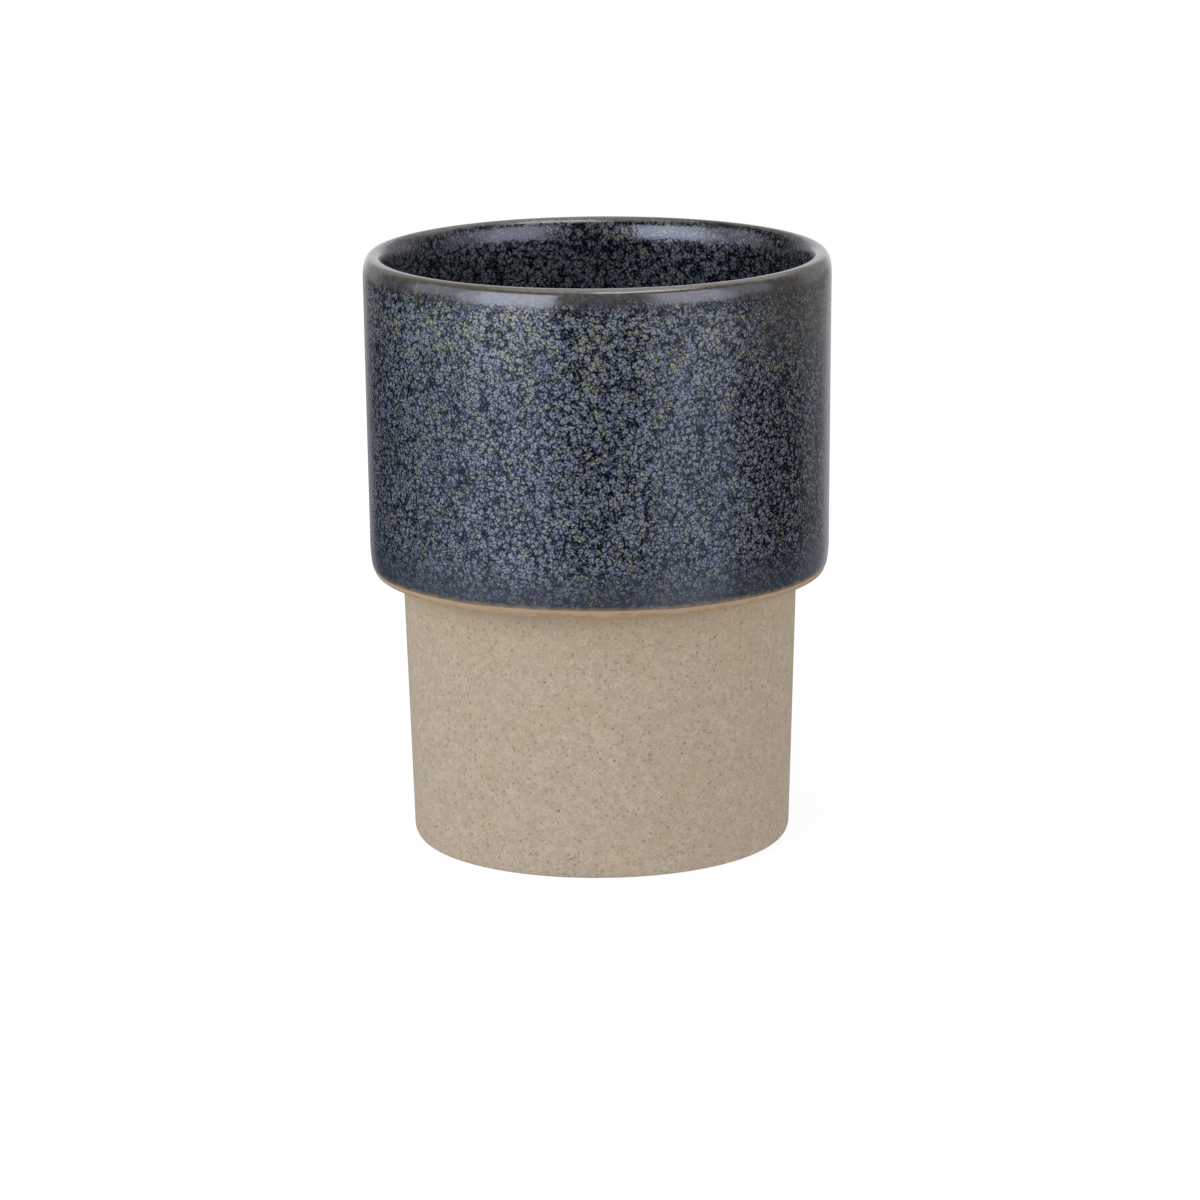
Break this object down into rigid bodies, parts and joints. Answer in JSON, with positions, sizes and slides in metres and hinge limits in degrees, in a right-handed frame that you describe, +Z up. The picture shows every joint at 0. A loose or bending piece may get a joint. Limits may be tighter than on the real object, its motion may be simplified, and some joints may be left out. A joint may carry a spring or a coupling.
{
  "type": "mug",
  "caption": "Handleless stoneware mug with a wide glazed upper section, a narrower bare clay base that nests in another mug's mouth, a rounded lip and a stepped cavity.",
  "frame": {"origin": "centre of the foot ring on the standing plane", "axes": "+Z up along the axis of revolution, from the foot to the mouth; +X and +Y are any two radial directions at right angles"},
  "size_m": [0.0784, 0.0784, 0.1],
  "materials": {
    "stoneware": "matte bare stoneware, fine dark specks",
    "outer_glaze": "glossy blue-black reactive glaze with pale grey-blue crystals",
    "liner_glaze": "glossy blue-black reactive glaze with pale grey-blue crystals"
  },
  "bodies": {
    "root": {"stoneware_body": "stoneware", "outer_glaze": "outer_glaze", "liner_glaze": "liner_glaze"}
  },
  "joints": []
}
